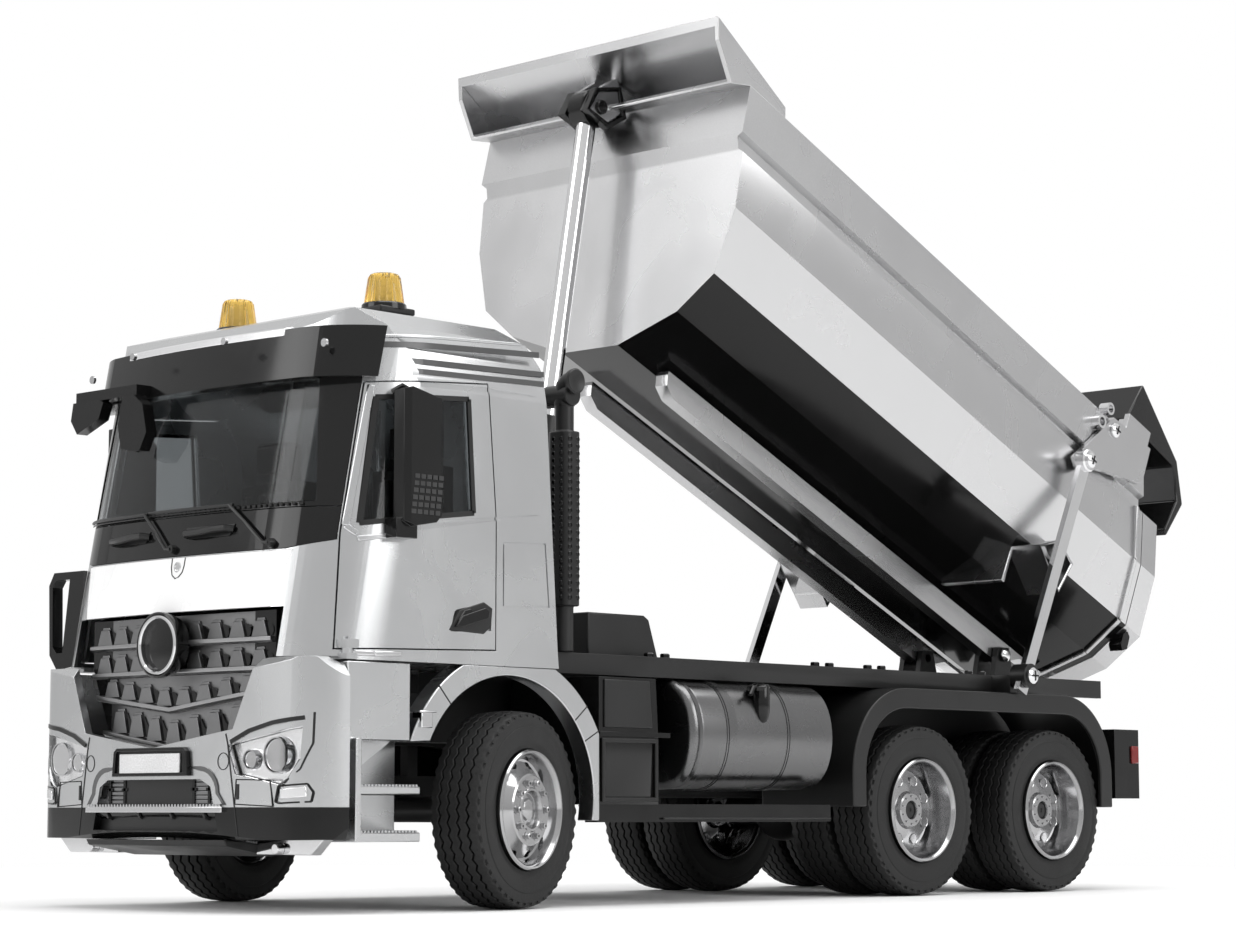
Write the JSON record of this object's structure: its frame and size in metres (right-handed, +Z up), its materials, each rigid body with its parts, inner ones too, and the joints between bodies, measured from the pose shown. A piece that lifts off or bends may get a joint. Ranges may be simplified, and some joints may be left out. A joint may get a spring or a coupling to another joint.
{
  "type": "radio-control model dump truck",
  "caption": "Radio-control model tipper lorry: steered front wheels, opening cab doors, and a half-pipe bed raised by a ram, with a top-hinged tailgate and side links",
  "frame": {"origin": "On the ground, midway across the model and midway between the front bumper and the raised tailgate hood", "axes": "Faces -Y, +X is its left side, +Z is up"},
  "size_m": [0.1384, 0.4162, 0.2666],
  "materials": {
    "frame_grey": "satin",
    "black_plastic": "matte",
    "grey_plastic": "matte",
    "silver_paint": "satin",
    "white_paint": "satin",
    "tinted_glass": "gloss",
    "amber_lens": "gloss",
    "grey_paint": "satin",
    "rim_chrome": "gloss",
    "rod_chrome": "gloss",
    "tyre_rubber": "matte"
  },
  "bodies": {
    "truck": {"chassis_frame": "frame_grey", "axles": "frame_grey", "leaf_springs": "frame_grey", "driveline": "frame_grey", "deck_plate": "black_plastic", "deck_box": "black_plastic", "air_stack": "black_plastic", "front_bumper": "silver_paint", "bumper_insert": "black_plastic", "headlamps": "tinted_glass", "skid_plate": "black_plastic", "grille": "grey_plastic", "badge": "silver_paint", "front_panel": "white_paint", "cowl": "black_plastic", "cab_trim": "black_plastic", "cab_shell": "silver_paint", "windscreen": "tinted_glass", "sun_visor": "black_plastic", "beacon_bases": "black_plastic", "beacons": "amber_lens", "front_mirrors": "black_plastic", "cab_steps": "silver_paint", "wheel_arches": "silver_paint", "dashboard": "black_plastic", "seats": "black_plastic", "side_boxes": "black_plastic", "fuel_tanks": "grey_paint", "rear_mudguards": "black_plastic"},
    "door_left": {"door_left": "silver_paint", "door_left_glass": "tinted_glass", "mirror_left": "black_plastic"},
    "door_right": {"door_right": "silver_paint", "door_right_glass": "tinted_glass", "mirror_right": "black_plastic"},
    "knuckle_left": {"knuckle_left": "black_plastic"},
    "knuckle_right": {"knuckle_right": "black_plastic"},
    "front_left_wheel": {"front_left_rim": "rim_chrome", "front_left_tyre": "tyre_rubber"},
    "front_right_wheel": {"front_right_rim": "rim_chrome", "front_right_tyre": "tyre_rubber"},
    "middle_left_wheels": {"middle_left_rims": "rim_chrome", "middle_left_tyres": "tyre_rubber"},
    "middle_right_wheels": {"middle_right_rims": "rim_chrome", "middle_right_tyres": "tyre_rubber"},
    "rear_left_wheels": {"rear_left_rims": "rim_chrome", "rear_left_tyres": "tyre_rubber"},
    "rear_right_wheels": {"rear_right_rims": "rim_chrome", "rear_right_tyres": "tyre_rubber"},
    "bed": {"bed_tub": "silver_paint", "bed_canopy": "silver_paint", "bed_rails": "silver_paint"},
    "tailgate": {"tailgate": "silver_paint", "tailgate_hood": "black_plastic"},
    "ram_tube": {"ram_tube": "black_plastic"},
    "ram_rod": {"ram_rod": "rod_chrome"},
    "link_foot_left": {"link_foot_left": "black_plastic"},
    "link_bar_left": {"link_bar_left": "rod_chrome"},
    "link_foot_right": {"link_foot_right": "black_plastic"},
    "link_bar_right": {"link_bar_right": "rod_chrome"}
  },
  "joints": [
    {"name": "steer_left", "type": "hinge", "parent": "truck", "child": "knuckle_left", "pos_m": [0.046, -0.13194, 0.027], "axis": [0, 0, 1], "range_deg": [-38.4, 9.6]},
    {"name": "steer_right", "type": "hinge", "parent": "truck", "child": "knuckle_right", "pos_m": [-0.046, -0.13194, 0.027], "axis": [0, 0, 1], "range_deg": [-38.4, 9.6]},
    {"name": "front_left_spin", "type": "hinge", "parent": "knuckle_left", "child": "front_left_wheel", "pos_m": [0.05569, -0.12945, 0.027], "axis": [0.9686, 0.2487, 0], "continuous": true},
    {"name": "front_right_spin", "type": "hinge", "parent": "knuckle_right", "child": "front_right_wheel", "pos_m": [-0.05569, -0.13443, 0.027], "axis": [0.9686, 0.2487, 0], "continuous": true},
    {"name": "middle_left_spin", "type": "hinge", "parent": "truck", "child": "middle_left_wheels", "pos_m": [0.0499, 0.05326, 0.027], "axis": [1, 0, 0], "continuous": true},
    {"name": "middle_right_spin", "type": "hinge", "parent": "truck", "child": "middle_right_wheels", "pos_m": [-0.0499, 0.05326, 0.027], "axis": [1, 0, 0], "continuous": true},
    {"name": "rear_left_spin", "type": "hinge", "parent": "truck", "child": "rear_left_wheels", "pos_m": [0.0499, 0.12406, 0.027], "axis": [1, 0, 0], "continuous": true},
    {"name": "rear_right_spin", "type": "hinge", "parent": "truck", "child": "rear_right_wheels", "pos_m": [-0.0499, 0.12406, 0.027], "axis": [1, 0, 0], "continuous": true},
    {"name": "door_left_hinge", "type": "hinge", "parent": "truck", "child": "door_left", "pos_m": [0.058, -0.18954, 0.1], "axis": [0, 0, -1], "range_deg": [0, 60]},
    {"name": "door_right_hinge", "type": "hinge", "parent": "truck", "child": "door_right", "pos_m": [-0.058, -0.18954, 0.1], "axis": [0, 0, 1], "range_deg": [0, 60]},
    {"name": "bed_tip", "type": "hinge", "parent": "truck", "child": "bed", "pos_m": [0, 0.14656, 0.081], "axis": [-1, 0, 0], "range_deg": [-24.2, 0]},
    {"name": "tailgate_hinge", "type": "hinge", "parent": "bed", "child": "tailgate", "pos_m": [0, 0.16088, 0.158], "axis": [1, 0, 0], "range_deg": [0, 40]},
    {"name": "ram_pivot", "type": "hinge", "parent": "truck", "child": "ram_tube", "pos_m": [0, -0.07794, 0.038], "axis": [-1, 0, 0], "range_deg": [-16.97, 0]},
    {"name": "ram_slide", "type": "slide", "parent": "ram_tube", "child": "ram_rod", "axis": [0, 0.1787, 0.9839], "range_m": [-0.09373, 0]},
    {"name": "link_left_pivot", "type": "hinge", "parent": "truck", "child": "link_foot_left", "pos_m": [0.0605, 0.10376, 0.071], "axis": [-1, 0, 0], "range_deg": [-17.06, 0]},
    {"name": "link_left_slide", "type": "slide", "parent": "link_foot_left", "child": "link_bar_left", "axis": [0, 0.4398, 0.8981], "range_m": [-0.01592, 0]},
    {"name": "link_right_pivot", "type": "hinge", "parent": "truck", "child": "link_foot_right", "pos_m": [-0.0605, 0.10376, 0.071], "axis": [-1, 0, 0], "range_deg": [-17.06, 0]},
    {"name": "link_right_slide", "type": "slide", "parent": "link_foot_right", "child": "link_bar_right", "axis": [0, 0.4398, 0.8981], "range_m": [-0.01592, 0]}
  ],
  "couplings": [
    {"joint": "steer_right", "follows": "steer_left", "ratio": 1},
    {"joint": "ram_pivot", "follows": "bed_tip", "ratio": 0.69912},
    {"joint": "ram_slide", "follows": "bed_tip", "m_per_rad": 0.2218},
    {"joint": "link_left_pivot", "follows": "bed_tip", "ratio": 0.7028},
    {"joint": "link_left_slide", "follows": "bed_tip", "m_per_rad": 0.037572},
    {"joint": "link_right_pivot", "follows": "bed_tip", "ratio": 0.7028},
    {"joint": "link_right_slide", "follows": "bed_tip", "m_per_rad": 0.037572}
  ]
}
